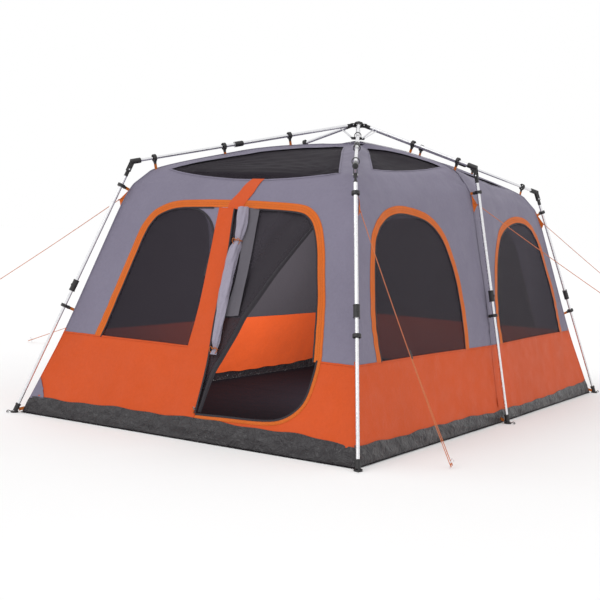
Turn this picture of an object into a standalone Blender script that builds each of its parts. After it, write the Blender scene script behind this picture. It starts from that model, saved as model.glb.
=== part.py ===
"""Six-leg pop-up cabin tent.

A central hub carries six arms, each arm ends in an elbow, and a two-piece telescoping leg
hangs from each elbow.  The fabric cabin hangs inside the frame.  Metres, +Z up.  The origin
is on the ground at the middle of the footprint, +X to the right of the door wall and +Y
from the door wall to the back.
"""

from math import acos, atan2, cos, pi, radians, sin, sqrt

import bmesh
import bpy
from mathutils import Matrix, Vector

# ---- driving dimensions --------------------------------------------------------------
HUB_PIVOT_Z = 2.157
HUB_PIVOT_R = 0.055
CORNER_ELBOW = Vector((0.880, 1.643, 1.747))
CORNER_FOOT = Vector((1.325, 2.243, 0.0))
MID_ELBOW = Vector((0.989, 0.0, 1.849))
MID_FOOT = Vector((1.362, 0.0, 0.0))

TUBE_R = 0.0127
SLIDE_R = 0.0111
WALL = 0.001
TOUCH = 0.0003

# hinge eyes, forks and pins
EYE_R = 0.012
EYE_THICK = 0.015
EYE_LONG = 0.052
FORK_HALF_GAP = 0.008
CHEEK = 0.005
PIN_R = 0.004
PIN_HOLE_R = 0.0045

# hub
CROWN_R = 0.036
CROWN_TOP = 0.015
CROWN_BOTTOM = -0.015
CAP_HIGH = 0.017
SHAFT_R = 0.008
SHAFT_BOTTOM = -0.122
CHEEK_HALF_HIGH = 0.013
CHEEK_REACH = 0.012

# runner and struts
RUNNER_PIVOT_R = 0.045
RUNNER_DROP = 0.100
RUNNER_CORE_R = 0.028
RUNNER_BORE_R = 0.0086
RUNNER_HALF_HIGH = 0.009
LUG_HALF_WIDE = 0.0125
LUG_REACH = 0.007
STRUT_SIDE = 0.016
STRUT_THICK = 0.003
STRUT_WIDE = 0.010
STRUT_ON_CORNER_ARM = 0.115
STRUT_ON_MID_ARM = 0.094

# elbows
ELBOW_DROP = 0.060
SOCKET_R = 0.019
SOCKET_BACK = 0.060
SOCKET_FRONT = 0.012
ELBOW_CHEEK_WIDE = 0.028
ELBOW_CHEEK_PAST = 0.014

# telescopes
ARM_COLLAR_END = 1.045
ARM_COLLAR_LONG = 0.070
ARM_OVERLAP = 0.120
LEG_COLLAR_END = 0.930
LEG_COLLAR_LONG = 0.080
LEG_OVERLAP = 0.120
COLLAR_R = 0.020
BORE_TOP = 0.060

# leg lock buttons
BUTTON_R = 0.006
BUTTON_HOLE_R = 0.0065
BUTTON_OUT = 0.0235
BUTTON_IN = 0.0168
BUTTON_HOLE_IN = 0.0139

# feet
PAD_R = 0.026
PAD_HIGH = 0.010
FOOT_SOCKET_R = 0.0165
FOOT_SOCKET_LONG = 0.062
FOOT_SOCKET_LIFT = 0.010

# fabric: corner x, y, z and side middle x, z at each level, from the ground up
FLOOR = (1.287, 2.205, 0.004, 1.305, 0.004)
SEAM = (1.132, 1.987, 0.552, 1.200, 0.552)
SHOULDER = (0.909, 1.636, 1.564, 0.975, 1.655)
EAVE = (0.803, 1.473, 1.725, 0.825, 1.840)
LEVELS = (FLOOR, SEAM, SHOULDER, EAVE)
ROOF_PEAK_Z = 2.015
ROOF_LIFT = 0.006
FABRIC = 0.003
CORNER_GAP = 0.008
GROUNDSHEET_THICK = 0.0025

# doorway in the front wall: outline corners (x, z) and their radii
DOOR_CORNERS = (
    (0.125, 0.160, 0.015),
    (0.890, 0.160, 0.200),
    (0.885, 0.480, 0.300),
    (0.650, 1.455, 0.150),
    (0.005, 1.455, 0.015),
)
ARC_STEPS = 6
ZIP_AT_Z = 0.190
ZIP_SIZE = (0.012, 0.006, 0.026)

# guy ropes: where each leaves the fabric, and its peg
ROPE_R = 0.0025
ROPE_TURN_R = 0.009
ROPE_BESIDE = 0.002
ROPE_RETURN = 0.42
ROPE_SAG = 0.012
ROPES = (
    ("front_left", (-0.930, -1.665, 1.500), (-3.060, -2.370)),
    ("rear_left", (-0.930, 1.665, 1.500), (-4.260, 0.960)),
    ("side_right", (0.992, 0.0, 1.600), (3.250, 1.255)),
    ("rear_right", (0.930, 1.665, 1.500), (2.950, 1.830)),
    ("front_right", (0.930, -1.665, 1.500), (1.690, -1.790)),
)
PEG_R = 0.003
PEG_HIGH = 0.055
PEG_LEAN = 0.075
ROPE_AT_PEG_Z = 0.030

SIDES = 16
SMALL_SIDES = 10

CORNERS = (
    ("front_left", -1, -1),
    ("front_right", 1, -1),
    ("rear_left", -1, 1),
    ("rear_right", 1, 1),
)
MIDS = (("mid_left", -1, 1), ("mid_right", 1, 1))

UP = Vector((0, 0, 1))


# ---- scene, collections and materials ------------------------------------------------
for old in list(bpy.data.objects):
    bpy.data.objects.remove(old, do_unlink=True)

tent = bpy.data.collections.new("pop_up_tent")
cutters = bpy.data.collections.new("cutters")
bpy.context.scene.collection.children.link(tent)
bpy.context.scene.collection.children.link(cutters)


def principled(name, colour, roughness, metallic=0.0):
    material = bpy.data.materials.new(name)
    material.use_nodes = True
    shader = material.node_tree.nodes["Principled BSDF"]
    shader.inputs["Base Color"].default_value = (*colour, 1)
    shader.inputs["Roughness"].default_value = roughness
    shader.inputs["Metallic"].default_value = metallic
    material.diffuse_color = (*colour, 1)
    return material


STEEL = principled("bright_steel_tube", (0.62, 0.62, 0.63), 0.28, 1.0)
BLACK = principled("black_nylon", (0.02, 0.02, 0.02), 0.45)
GREY_FABRIC = principled("grey_polyester", (0.25, 0.23, 0.29), 0.75)
ORANGE_FABRIC = principled("orange_polyester", (0.70, 0.12, 0.03), 0.7)
SHEET_FABRIC = principled("charcoal_groundsheet", (0.05, 0.045, 0.05), 0.35)
ROPE_CORD = principled("beige_rope", (0.55, 0.36, 0.22), 0.8)


# ---- mesh helpers --------------------------------------------------------------------
def place(origin, direction, axis):
    """Matrix that lays a link's local -Z along direction and its local Y along axis."""
    z = -direction.normalized()
    y = axis.normalized()
    x = y.cross(z)
    turn = Matrix((x, y, z)).transposed().to_4x4()
    return Matrix.Translation(origin) @ turn


def to_mesh_object(name, bm, collection=tent):
    mesh = bpy.data.meshes.new(name)
    bm.to_mesh(mesh)
    bm.free()
    obj = bpy.data.objects.new(name, mesh)
    collection.objects.link(obj)
    return obj


def bake(obj):
    """Apply the object's modifiers to its mesh."""
    bpy.context.view_layer.update()
    seen = obj.evaluated_get(bpy.context.evaluated_depsgraph_get())
    mesh = bpy.data.meshes.new_from_object(seen)
    obj.modifiers.clear()
    obj.data = mesh
    return obj


def turned(name, profile, steps=SIDES):
    """Revolve (radius, height) points about local Z, outer side from top to bottom."""
    bm = bmesh.new()
    verts = [bm.verts.new((r, 0, z)) for r, z in profile]
    for a, b in zip(verts, verts[1:]):
        bm.edges.new((a, b))
    if profile[0][0] > 0:
        bm.edges.new((verts[-1], verts[0]))
    obj = to_mesh_object(name, bm)
    screw = obj.modifiers.new("turn", "SCREW")
    screw.steps = steps
    screw.render_steps = steps
    screw.use_merge_vertices = True
    screw.merge_threshold = 0.00005
    screw.use_smooth_shade = False
    return bake(obj)


def tube(name, outer, bore, top, bottom, bore_top):
    """A round tube along -Z, closed at the top and bored from below up to bore_top."""
    profile = [(0, -top), (outer, -top), (outer, -bottom), (bore, -bottom), (bore, -bore_top), (0, -bore_top)]
    return turned(name, profile)


def cylinder(name, radius, length, matrix, sides=SMALL_SIDES):
    """A cylinder centred on the matrix's origin, along its local Z."""
    bm = bmesh.new()
    bmesh.ops.create_cone(
        bm, cap_ends=True, segments=sides, radius1=radius, radius2=radius, depth=length, matrix=matrix
    )
    return to_mesh_object(name, bm)


def box(name, size, matrix):
    """A box centred on the matrix's origin."""
    bm = bmesh.new()
    bmesh.ops.create_cube(bm, size=1, matrix=matrix @ Matrix.Diagonal((*size, 1)))
    return to_mesh_object(name, bm)


def combine(base, others, operation):
    """Boolean each of the others with base, remove them, and keep the result as a mesh."""
    for other in others:
        boolean = base.modifiers.new("combine", "BOOLEAN")
        boolean.operation = operation
        boolean.solver = "EXACT"
        boolean.object = other
    bake(base)
    for other in others:
        bpy.data.objects.remove(other, do_unlink=True)
    return base


def along_y():
    return Matrix.Rotation(pi / 2, 4, "X")


def finish(obj, material, matrix=Matrix.Identity(4)):
    obj.matrix_world = matrix
    obj.data.materials.clear()
    obj.data.materials.append(material)
    obj.data.shade_smooth()
    obj.data.set_sharp_from_angle(angle=radians(35))
    return obj


def eyed(obj):
    """Give a link that hangs along -Z its flat hinge eye and pin hole at the origin."""
    round_end = cylinder("round_end", EYE_R, EYE_THICK, along_y(), SIDES)
    flat = box(
        "flat", (2 * EYE_R - 0.001, EYE_THICK - 0.0002, EYE_LONG), Matrix.Translation((0, 0, -EYE_LONG / 2))
    )
    combine(obj, [flat, round_end], "UNION")
    hole = cylinder("hole", PIN_HOLE_R, 3 * EYE_THICK, along_y())
    return combine(obj, [hole], "DIFFERENCE")


# ---- kinematics shared by the frame's parts ------------------------------------------
def mirrored(point, sx, sy):
    return Vector((point.x * sx, point.y * sy, point.z))


class Limb:
    """Where one arm and its leg lie in the pitched tent."""

    def __init__(self, name, elbow, foot, strut_at):
        self.name = name
        self.elbow = elbow
        self.foot = foot
        outward = Vector((elbow.x, elbow.y, 0)).normalized()
        self.outward = outward
        self.arm_axis = outward.cross(UP)
        self.hub_pivot = outward * HUB_PIVOT_R + UP * HUB_PIVOT_Z
        self.arm = (elbow - self.hub_pivot).normalized()
        self.arm_long = (elbow - self.hub_pivot).length
        self.leg = (foot - elbow).normalized()
        self.leg_pivot = elbow + self.leg * ELBOW_DROP
        self.leg_long = (foot - self.leg_pivot).length
        self.leg_axis = self.folding_axis()
        self.strut_foot = outward * RUNNER_PIVOT_R + UP * (HUB_PIVOT_Z - RUNNER_DROP)
        self.strut_top = self.hub_pivot + self.arm * strut_at

    def folding_axis(self):
        """Axis on which the leg turns from its place to hanging plumb from the raised arm."""
        rest = atan2(-self.arm.z, sqrt(self.arm.x**2 + self.arm.y**2))
        raised = Matrix.Rotation(rest + radians(87), 3, self.arm_axis)
        plumb = raised.inverted() @ Vector((0, 0, -1))
        return self.leg.cross(plumb).normalized()


limbs = [
    Limb(name, mirrored(CORNER_ELBOW, sx, sy), mirrored(CORNER_FOOT, sx, sy), STRUT_ON_CORNER_ARM)
    for name, sx, sy in CORNERS
]
limbs += [
    Limb(name, mirrored(MID_ELBOW, sx, sy), mirrored(MID_FOOT, sx, sy), STRUT_ON_MID_ARM)
    for name, sx, sy in MIDS
]


def is_corner(limb):
    return abs(limb.elbow.y) > 0.5


# ---- hub -----------------------------------------------------------------------------
def fork(limb):
    """Two cheeks and a pin that hold an arm's eye, in world coordinates."""
    pieces = []
    inner = CROWN_R - 0.010
    outer = HUB_PIVOT_R + CHEEK_REACH
    radial = place(limb.outward * (inner + outer) / 2 + UP * HUB_PIVOT_Z, limb.outward, limb.arm_axis)
    for side in (-1, 1):
        offset = Matrix.Translation(limb.arm_axis * side * (FORK_HALF_GAP + CHEEK / 2))
        size = (2 * CHEEK_HALF_HIGH, CHEEK, outer - inner)
        pieces.append(box("cheek", size, offset @ radial))
    pin_at = place(limb.hub_pivot, limb.outward, limb.arm_axis) @ along_y()
    pieces.append(cylinder("pin", PIN_R, 2 * (FORK_HALF_GAP + CHEEK) - 0.001, pin_at))
    return pieces


def build_crown():
    profile = [
        (0, HUB_PIVOT_Z + CROWN_TOP),
        (CROWN_R, HUB_PIVOT_Z + CROWN_TOP),
        (CROWN_R, HUB_PIVOT_Z + CROWN_BOTTOM),
        (SHAFT_R, HUB_PIVOT_Z + CROWN_BOTTOM),
        (SHAFT_R, HUB_PIVOT_Z + SHAFT_BOTTOM),
        (0, HUB_PIVOT_Z + SHAFT_BOTTOM),
    ]
    crown = turned("hub_crown", profile)
    pieces = [piece for limb in limbs for piece in fork(limb)]
    finish(combine(crown, pieces, "UNION"), BLACK)


def build_cap():
    base = HUB_PIVOT_Z + CROWN_TOP + TOUCH
    profile = [(0, base + CAP_HIGH)]
    for step in range(1, 5):
        angle = step / 4 * pi / 2
        profile.append(((CROWN_R - 0.002) * sin(angle), base + 0.003 + (CAP_HIGH - 0.003) * cos(angle)))
    profile += [(CROWN_R - 0.002, base), (0, base)]
    finish(turned("hub_cap", profile), BLACK)


def build_runner():
    z = HUB_PIVOT_Z - RUNNER_DROP
    profile = [
        (RUNNER_CORE_R, z + RUNNER_HALF_HIGH),
        (RUNNER_CORE_R, z - RUNNER_HALF_HIGH),
        (RUNNER_BORE_R, z - RUNNER_HALF_HIGH),
        (RUNNER_BORE_R, z + RUNNER_HALF_HIGH),
    ]
    runner = turned("hub_runner", profile)
    inner = RUNNER_CORE_R - 0.008
    outer = RUNNER_PIVOT_R + LUG_REACH
    size = (2 * (RUNNER_HALF_HIGH - 0.001), 2 * LUG_HALF_WIDE, outer - inner)
    lugs = [
        box("lug", size, place(limb.outward * (inner + outer) / 2 + UP * z, limb.outward, limb.arm_axis))
        for limb in limbs
    ]
    finish(combine(runner, lugs, "UNION"), BLACK)


def build_strut(limb):
    """Flat bar beside the arm, from the runner's lug to the arm."""
    run = limb.strut_top - limb.strut_foot
    middle = (limb.strut_foot + limb.strut_top) / 2 + limb.arm_axis * STRUT_SIDE
    bar = box(f"strut_{limb.name}", (STRUT_WIDE, STRUT_THICK, run.length), Matrix.Identity(4))
    ends = [
        cylinder(
            "end", STRUT_WIDE / 2, STRUT_THICK, Matrix.Translation((0, 0, side * run.length / 2)) @ along_y()
        )
        for side in (-1, 1)
    ]
    finish(combine(bar, ends, "UNION"), STEEL, place(middle, run, limb.arm_axis))


# ---- arms and elbows -----------------------------------------------------------------
def collared(outer, collar_top, end, top, bore, bore_top):
    """Tube profile along -Z that ends in a thicker collar."""
    return [
        (0, -top),
        (outer, -top),
        (outer, -collar_top),
        (COLLAR_R - 0.002, -collar_top),
        (COLLAR_R, -collar_top - 0.006),
        (COLLAR_R, -end),
        (bore, -end),
        (bore, -bore_top),
        (0, -bore_top),
    ]


def build_arm(limb):
    end = limb.arm_long - SOCKET_BACK - TOUCH
    bore = TUBE_R - WALL
    at = place(limb.hub_pivot, limb.arm, limb.arm_axis)
    if is_corner(limb):
        collar_top = ARM_COLLAR_END - ARM_COLLAR_LONG
        profile = collared(TUBE_R, collar_top, ARM_COLLAR_END, 0.032, bore, BORE_TOP)
        finish(eyed(turned(f"arm_inner_{limb.name}", profile)), STEEL, at)
        start = ARM_COLLAR_END - ARM_OVERLAP
        slide = turned(f"arm_outer_{limb.name}", slide_profile(start, end))
        finish(slide, STEEL, at)
    else:
        profile = [(0, -0.032), (TUBE_R, -0.032), (TUBE_R, -end), (bore, -end), (bore, -BORE_TOP), (0, -BORE_TOP)]
        finish(eyed(turned(f"arm_{limb.name}", profile)), STEEL, at)


def slide_profile(start, end):
    """Inner telescope tube along -Z, open at its upper end and plugged at its lower end."""
    bore = SLIDE_R - WALL
    plug = end - 0.015
    return [(bore, -start), (SLIDE_R, -start), (SLIDE_R, -end), (0, -end), (0, -plug), (bore, -plug)]


def build_elbow(limb):
    """Socket on the arm's end and a fork that holds the leg's eye."""
    socket_mid = limb.elbow + limb.arm * (SOCKET_FRONT - SOCKET_BACK) / 2
    side = limb.arm.cross(limb.leg).normalized()
    socket_at = place(socket_mid, limb.arm, side)
    elbow = cylinder(f"elbow_{limb.name}", SOCKET_R, SOCKET_BACK + SOCKET_FRONT, socket_at, SIDES)
    long = ELBOW_DROP + ELBOW_CHEEK_PAST
    cheek_at = place(limb.elbow + limb.leg * long / 2, limb.leg, limb.leg_axis)
    pieces = []
    for sign in (-1, 1):
        offset = Matrix.Translation(limb.leg_axis * sign * (FORK_HALF_GAP + CHEEK / 2))
        pieces.append(box("cheek", (ELBOW_CHEEK_WIDE, CHEEK, long), offset @ cheek_at))
    pin_at = place(limb.leg_pivot, limb.leg, limb.leg_axis) @ along_y()
    pieces.append(cylinder("pin", PIN_R, 2 * (FORK_HALF_GAP + CHEEK) - 0.001, pin_at))
    finish(combine(elbow, pieces, "UNION"), BLACK)


# ---- legs ----------------------------------------------------------------------------
def button_side(limb):
    """Unit vector from the leg's centre line to its lock button, away from the tent."""
    return limb.leg.cross(limb.leg_axis).normalized()


def build_leg(limb):
    collar_top = LEG_COLLAR_END - LEG_COLLAR_LONG
    profile = collared(TUBE_R, collar_top, LEG_COLLAR_END, 0.044, TUBE_R - WALL, BORE_TOP)
    upper = eyed(turned(f"leg_upper_{limb.name}", profile))
    at = place(limb.leg_pivot, limb.leg, limb.leg_axis)
    out = at.to_3x3().inverted() @ button_side(limb)
    button_z = -(LEG_COLLAR_END - LEG_COLLAR_LONG / 2)
    turn = out.to_track_quat("Z", "Y").to_matrix().to_4x4()
    hole_mid = out * (BUTTON_HOLE_IN + COLLAR_R + 0.01) / 2 + Vector((0, 0, button_z))
    hole = cylinder(
        "hole", BUTTON_HOLE_R, COLLAR_R + 0.01 - BUTTON_HOLE_IN, Matrix.Translation(hole_mid) @ turn
    )
    finish(combine(upper, [hole], "DIFFERENCE"), STEEL, at)
    button_mid = out * (BUTTON_IN + BUTTON_OUT) / 2 + Vector((0, 0, button_z))
    button = cylinder(
        f"leg_button_{limb.name}", BUTTON_R, BUTTON_OUT - BUTTON_IN, Matrix.Translation(button_mid) @ turn
    )
    finish(button, BLACK, at)


def build_foot(limb):
    """Lower leg tube with its moulded foot, flat on the ground."""
    start = LEG_COLLAR_END - LEG_OVERLAP
    end = limb.leg_long - FOOT_SOCKET_LONG / 2
    at = place(limb.leg_pivot, limb.leg, limb.leg_axis)
    lower = turned(f"leg_lower_{limb.name}", slide_profile(start, end))
    from_world = at.inverted()
    pad = cylinder(
        "pad", PAD_R, PAD_HIGH, from_world @ Matrix.Translation(limb.foot + UP * PAD_HIGH / 2), SIDES
    )
    middle = limb.leg_long - FOOT_SOCKET_LIFT - (FOOT_SOCKET_LONG - FOOT_SOCKET_LIFT) / 2
    socket = cylinder(
        "socket",
        FOOT_SOCKET_R,
        FOOT_SOCKET_LONG - FOOT_SOCKET_LIFT,
        Matrix.Translation((0, 0, -middle)),
        SIDES,
    )
    finish(combine(lower, [socket, pad], "UNION"), STEEL, at)


# ---- fabric --------------------------------------------------------------------------
def wall_point(level, along, side, sign):
    """A point on a wall's level line; along runs from -1 to 1 between its two corners."""
    x, y, z, mid_x, mid_z = level
    if side == "x":
        middle = 1 - abs(along)
        return Vector((sign * (x + (mid_x - x) * middle), along * y, z + (mid_z - z) * middle))
    return Vector((along * (x - CORNER_GAP), sign * y, z))


def build_wall(name, side, sign, material):
    """One cabin wall: a loft through the floor, seam, shoulder and eave lines."""
    bm = bmesh.new()
    bmesh.ops.create_grid(bm, x_segments=2, y_segments=len(LEVELS) - 1, size=1)
    for vert in bm.verts:
        row = round((vert.co.y + 1) / 2 * (len(LEVELS) - 1))
        vert.co = wall_point(LEVELS[row], vert.co.x, side, sign)
    bmesh.ops.recalc_face_normals(bm, faces=bm.faces)
    face = min(bm.faces, key=lambda f: f.calc_center_median().z)
    outward = face.calc_center_median() * Vector((side == "x", side == "y", 0))
    if face.normal.dot(outward) < 0:
        bmesh.ops.reverse_faces(bm, faces=bm.faces)
    wall = to_mesh_object(name, bm)
    solidify = wall.modifiers.new("thickness", "SOLIDIFY")
    solidify.thickness = FABRIC
    solidify.offset = -1
    finish(bake(wall), material)
    return wall


def rounded(corners):
    """Outline through (x, z, radius) corners, each rounded by an arc."""
    points = []
    count = len(corners)
    for i, (x, z, radius) in enumerate(corners):
        corner = Vector((x, z))
        before = (Vector(corners[i - 1][:2]) - corner).normalized()
        after = (Vector(corners[(i + 1) % count][:2]) - corner).normalized()
        half = acos(max(-1, min(1, before.dot(after)))) / 2
        back = radius / (sin(half) / cos(half))
        centre = corner + (before + after).normalized() * (radius / sin(half))
        start = corner + before * back - centre
        end = corner + after * back - centre
        for step in range(ARC_STEPS + 1):
            way = step / ARC_STEPS
            mixed = start.lerp(end, way).normalized() * radius
            points.append(centre + mixed)
    return points


def cut_doorway(wall):
    bm = bmesh.new()
    face = bm.faces.new([bm.verts.new((p.x, -3, p.y)) for p in rounded(DOOR_CORNERS)])
    deeper = bmesh.ops.extrude_face_region(bm, geom=[face])
    moved = [item for item in deeper["geom"] if isinstance(item, bmesh.types.BMVert)]
    bmesh.ops.translate(bm, verts=moved, vec=(0, 2.5, 0))
    bmesh.ops.recalc_face_normals(bm, faces=bm.faces)
    cutter = to_mesh_object("doorway_cutter", bm, cutters)
    combine(wall, [cutter], "DIFFERENCE")


def build_roof():
    """Six-sided roof that rises from the eaves to the point under the hub."""
    x, y, z, mid_x, mid_z = EAVE
    rim = ((-x, -y, z), (x, -y, z), (mid_x, 0, mid_z), (x, y, z), (-x, y, z), (-mid_x, 0, mid_z))
    bm = bmesh.new()
    bmesh.ops.create_circle(bm, cap_ends=True, cap_tris=True, segments=len(rim), radius=1)
    outer = sorted((v for v in bm.verts if v.co.length > 0.5), key=lambda v: atan2(v.co.y, v.co.x))
    spots = sorted((Vector(p) + UP * ROOF_LIFT for p in rim), key=lambda p: atan2(p.y, p.x))
    for vert, spot in zip(outer, spots):
        vert.co = spot
    peak = next(v for v in bm.verts if len(v.link_edges) == len(rim))
    peak.co = (0, 0, ROOF_PEAK_Z)
    bmesh.ops.recalc_face_normals(bm, faces=bm.faces)
    if next(iter(bm.faces)).normal.z < 0:
        bmesh.ops.reverse_faces(bm, faces=bm.faces)
    roof = to_mesh_object("roof", bm)
    solidify = roof.modifiers.new("thickness", "SOLIDIFY")
    solidify.thickness = FABRIC
    solidify.offset = -1
    finish(bake(roof), GREY_FABRIC)


def build_groundsheet():
    """Flat floor inside the walls, and the face that the tent rests on."""
    x, y = FLOOR[0] - CORNER_GAP, FLOOR[1] - CORNER_GAP
    mid_x = FLOOR[3] - CORNER_GAP
    outline = ((-x, -y), (x, -y), (mid_x, 0), (x, y), (-x, y), (-mid_x, 0))
    bm = bmesh.new()
    face = bm.faces.new([bm.verts.new((*p, 0)) for p in outline])
    deeper = bmesh.ops.extrude_face_region(bm, geom=[face])
    moved = [item for item in deeper["geom"] if isinstance(item, bmesh.types.BMVert)]
    bmesh.ops.translate(bm, verts=moved, vec=(0, 0, GROUNDSHEET_THICK))
    bmesh.ops.recalc_face_normals(bm, faces=bm.faces)
    finish(to_mesh_object("groundsheet", bm), SHEET_FABRIC)


def build_zip_slider():
    """Pull of the door's zip, on the post's edge just above the sill."""
    (x0, z0, _), (x1, z1, _) = DOOR_CORNERS[0], DOOR_CORNERS[-1]
    x = x0 + (x1 - x0) * (ZIP_AT_Z - z0) / (z1 - z0)
    slope = (FLOOR[1] - SEAM[1]) / (SEAM[2] - FLOOR[2])
    y = -(FLOOR[1] - slope * ZIP_AT_Z) - 0.006
    lean = Matrix.Rotation(-atan2(slope, 1), 4, "X")
    slider = box("door_zip_slider", ZIP_SIZE, Matrix.Identity(4))
    finish(slider, BLACK, Matrix.Translation((x - 0.03, y, ZIP_AT_Z)) @ lean)


# ---- guy ropes and pegs --------------------------------------------------------------
def catmull(points, per_span):
    """Smooth curve through the points, with per_span pieces in each span."""
    ends = [points[0] * 2 - points[1], *points, points[-1] * 2 - points[-2]]
    line = []
    for p0, p1, p2, p3 in zip(ends, ends[1:], ends[2:], ends[3:]):
        for step in range(per_span):
            t = step / per_span
            line.append(
                (
                    p1 * 2
                    + (p2 - p0) * t
                    + (p0 * 2 - p1 * 5 + p2 * 4 - p3) * t**2
                    + (p1 * 3 - p0 - p2 * 3 + p3) * t**3
                )
                / 2
            )
    return [*line, points[-1]]


def rope_route(start, peg):
    """Down from the tent to the peg, once round it, and back up beside itself."""
    first, last = Vector(start), Vector((*peg, ROPE_AT_PEG_Z))
    run = last - first
    side = run.cross(UP).normalized()
    ahead = Vector((run.x, run.y, 0)).normalized()
    down = []
    for step in range(5):
        t = step / 5
        sag = UP * (4 * ROPE_SAG * run.length * t * (1 - t))
        down.append(first + run * t - sag + side * ROPE_TURN_R * t)
    turn = []
    for step in range(5):
        angle = pi * step / 4
        turn.append(last + (side * cos(angle) + ahead * sin(angle)) * ROPE_TURN_R)
    back = []
    for step in range(1, 4):
        t = 1 - ROPE_RETURN * step / 3
        sag = UP * (4 * ROPE_SAG * run.length * t * (1 - t))
        apart = ROPE_TURN_R - (ROPE_TURN_R - ROPE_BESIDE) * step / 3
        back.append(first + run * t - sag - side * apart)
    return down, turn, back


def build_rope(name, start, peg):
    down, turn, back = rope_route(start, peg)
    points = catmull([*down, *turn, *back], 3)
    curve = bpy.data.curves.new(f"rope_{name}", "CURVE")
    curve.dimensions = "3D"
    curve.bevel_depth = ROPE_R
    curve.bevel_resolution = 2
    curve.use_fill_caps = True
    spline = curve.splines.new("POLY")
    spline.points.add(len(points) - 1)
    for target, point in zip(spline.points, points):
        target.co = (*point, 1)
    curve.materials.append(ROPE_CORD)
    tent.objects.link(bpy.data.objects.new(f"rope_{name}", curve))


def build_peg(name, start, peg):
    """Top of a steel peg that leans away from the tent, with its hook."""
    away = (Vector((*peg, 0)) - Vector((start[0], start[1], 0))).normalized()
    foot = Vector((*peg, 0))
    shank = (UP + away * PEG_LEAN) * PEG_HIGH
    points = [
        foot + UP * 0.001,
        foot + shank * 0.8,
        foot + shank + away * 0.004,
        foot + shank * 0.95 + away * 0.016,
        foot + shank * 0.7 + away * 0.019,
    ]
    curve = bpy.data.curves.new(f"peg_{name}", "CURVE")
    curve.dimensions = "3D"
    curve.bevel_depth = PEG_R
    curve.bevel_resolution = 2
    curve.use_fill_caps = True
    spline = curve.splines.new("POLY")
    line = catmull(points, 2)
    spline.points.add(len(line) - 1)
    for target, point in zip(spline.points, line):
        target.co = (*point, 1)
    curve.materials.append(STEEL)
    tent.objects.link(bpy.data.objects.new(f"peg_{name}", curve))


# ---- build ---------------------------------------------------------------------------
build_crown()
build_cap()
build_runner()
for limb in limbs:
    build_strut(limb)
    build_arm(limb)
    build_elbow(limb)
    build_leg(limb)
    build_foot(limb)

build_groundsheet()
cut_doorway(build_wall("wall_front", "y", -1, ORANGE_FABRIC))
build_wall("wall_back", "y", 1, ORANGE_FABRIC)
build_wall("wall_left", "x", -1, ORANGE_FABRIC)
build_wall("wall_right", "x", 1, ORANGE_FABRIC)
build_roof()
build_zip_slider()
for name, start, peg in ROPES:
    build_rope(name, start, peg)
    build_peg(name, start, peg)
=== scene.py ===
"""Looks of a six-leg pop-up cabin tent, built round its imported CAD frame."""

from math import atan2, cos, pi, radians, sin

import bmesh
import bpy
import numpy as np
from mathutils import Matrix, Vector, noise
from mathutils.geometry import delaunay_2d_cdt


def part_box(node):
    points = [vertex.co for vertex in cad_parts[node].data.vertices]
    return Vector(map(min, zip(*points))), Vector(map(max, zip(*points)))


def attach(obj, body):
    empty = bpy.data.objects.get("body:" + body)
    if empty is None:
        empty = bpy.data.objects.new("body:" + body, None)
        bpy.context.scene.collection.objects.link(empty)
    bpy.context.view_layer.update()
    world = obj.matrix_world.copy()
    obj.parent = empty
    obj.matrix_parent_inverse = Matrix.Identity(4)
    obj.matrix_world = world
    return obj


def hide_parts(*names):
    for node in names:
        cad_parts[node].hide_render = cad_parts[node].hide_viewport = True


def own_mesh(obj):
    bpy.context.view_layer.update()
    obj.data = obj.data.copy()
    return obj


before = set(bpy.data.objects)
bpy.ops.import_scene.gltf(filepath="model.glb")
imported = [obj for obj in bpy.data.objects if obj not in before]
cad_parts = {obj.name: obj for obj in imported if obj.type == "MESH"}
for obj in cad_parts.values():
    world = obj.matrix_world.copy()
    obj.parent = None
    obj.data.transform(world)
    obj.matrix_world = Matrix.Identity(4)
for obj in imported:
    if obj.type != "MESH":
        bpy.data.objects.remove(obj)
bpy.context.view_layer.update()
UP = Vector((0, 0, 1))


# ---- camera, floor and light
def aim(obj, yaw, pitch, roll):
    """Turn a camera or lamp: yaw left of +Y, pitch up, roll clockwise, in degrees."""
    yaw, pitch, roll = radians(yaw), radians(pitch), radians(roll)
    ahead = Vector((-sin(yaw) * cos(pitch), cos(yaw) * cos(pitch), sin(pitch)))
    right = Vector((cos(yaw), sin(yaw), 0))
    up = right.cross(ahead)
    level_right = right * cos(roll) + up * sin(roll)
    level_up = up * cos(roll) - right * sin(roll)
    turn = Matrix((level_right, level_up, -ahead)).transposed()
    obj.rotation_euler = turn.to_euler()


camera = bpy.data.objects.new("camera", bpy.data.cameras.new("camera"))
bpy.context.scene.collection.objects.link(camera)
camera.location = (4.311, -7.976, 1.367)
aim(camera, 30.61, -3.75, 2.88)
camera.data.lens = 69.51
camera.data.sensor_width = 36
camera.data.shift_x = -0.0075
camera.data.shift_y = 0.0017
camera.data.clip_end = 200
bpy.context.scene.camera = camera

world = bpy.data.worlds.new("studio")
world.use_nodes = True
world.node_tree.nodes["Background"].inputs["Color"].default_value = (1, 1, 1, 1)
world.node_tree.nodes["Background"].inputs["Strength"].default_value = 1.0
bpy.context.scene.world = world
bpy.context.scene.view_settings.view_transform = "Standard"


def lamp(name, kind, energy, place, target, size):
    data = bpy.data.lights.new(name, kind)
    data.energy = energy
    if kind == "AREA":
        data.shape = "DISK"
        data.size = size
    else:
        data.angle = size
    obj = bpy.data.objects.new(name, data)
    bpy.context.scene.collection.objects.link(obj)
    obj.location = place
    obj.visible_camera = False
    obj.rotation_euler = (Vector(target) - Vector(place)).to_track_quat("-Z", "Y").to_euler()


lamp("key_sun", "SUN", 0.6, (-3, -8, 9), (0, 0, 0.5), radians(28))
lamp("cabin_glow", "AREA", 75, (0.75, 0.1, 1.1), (-1.25, 0.7, 0.55), 1.1)


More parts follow.
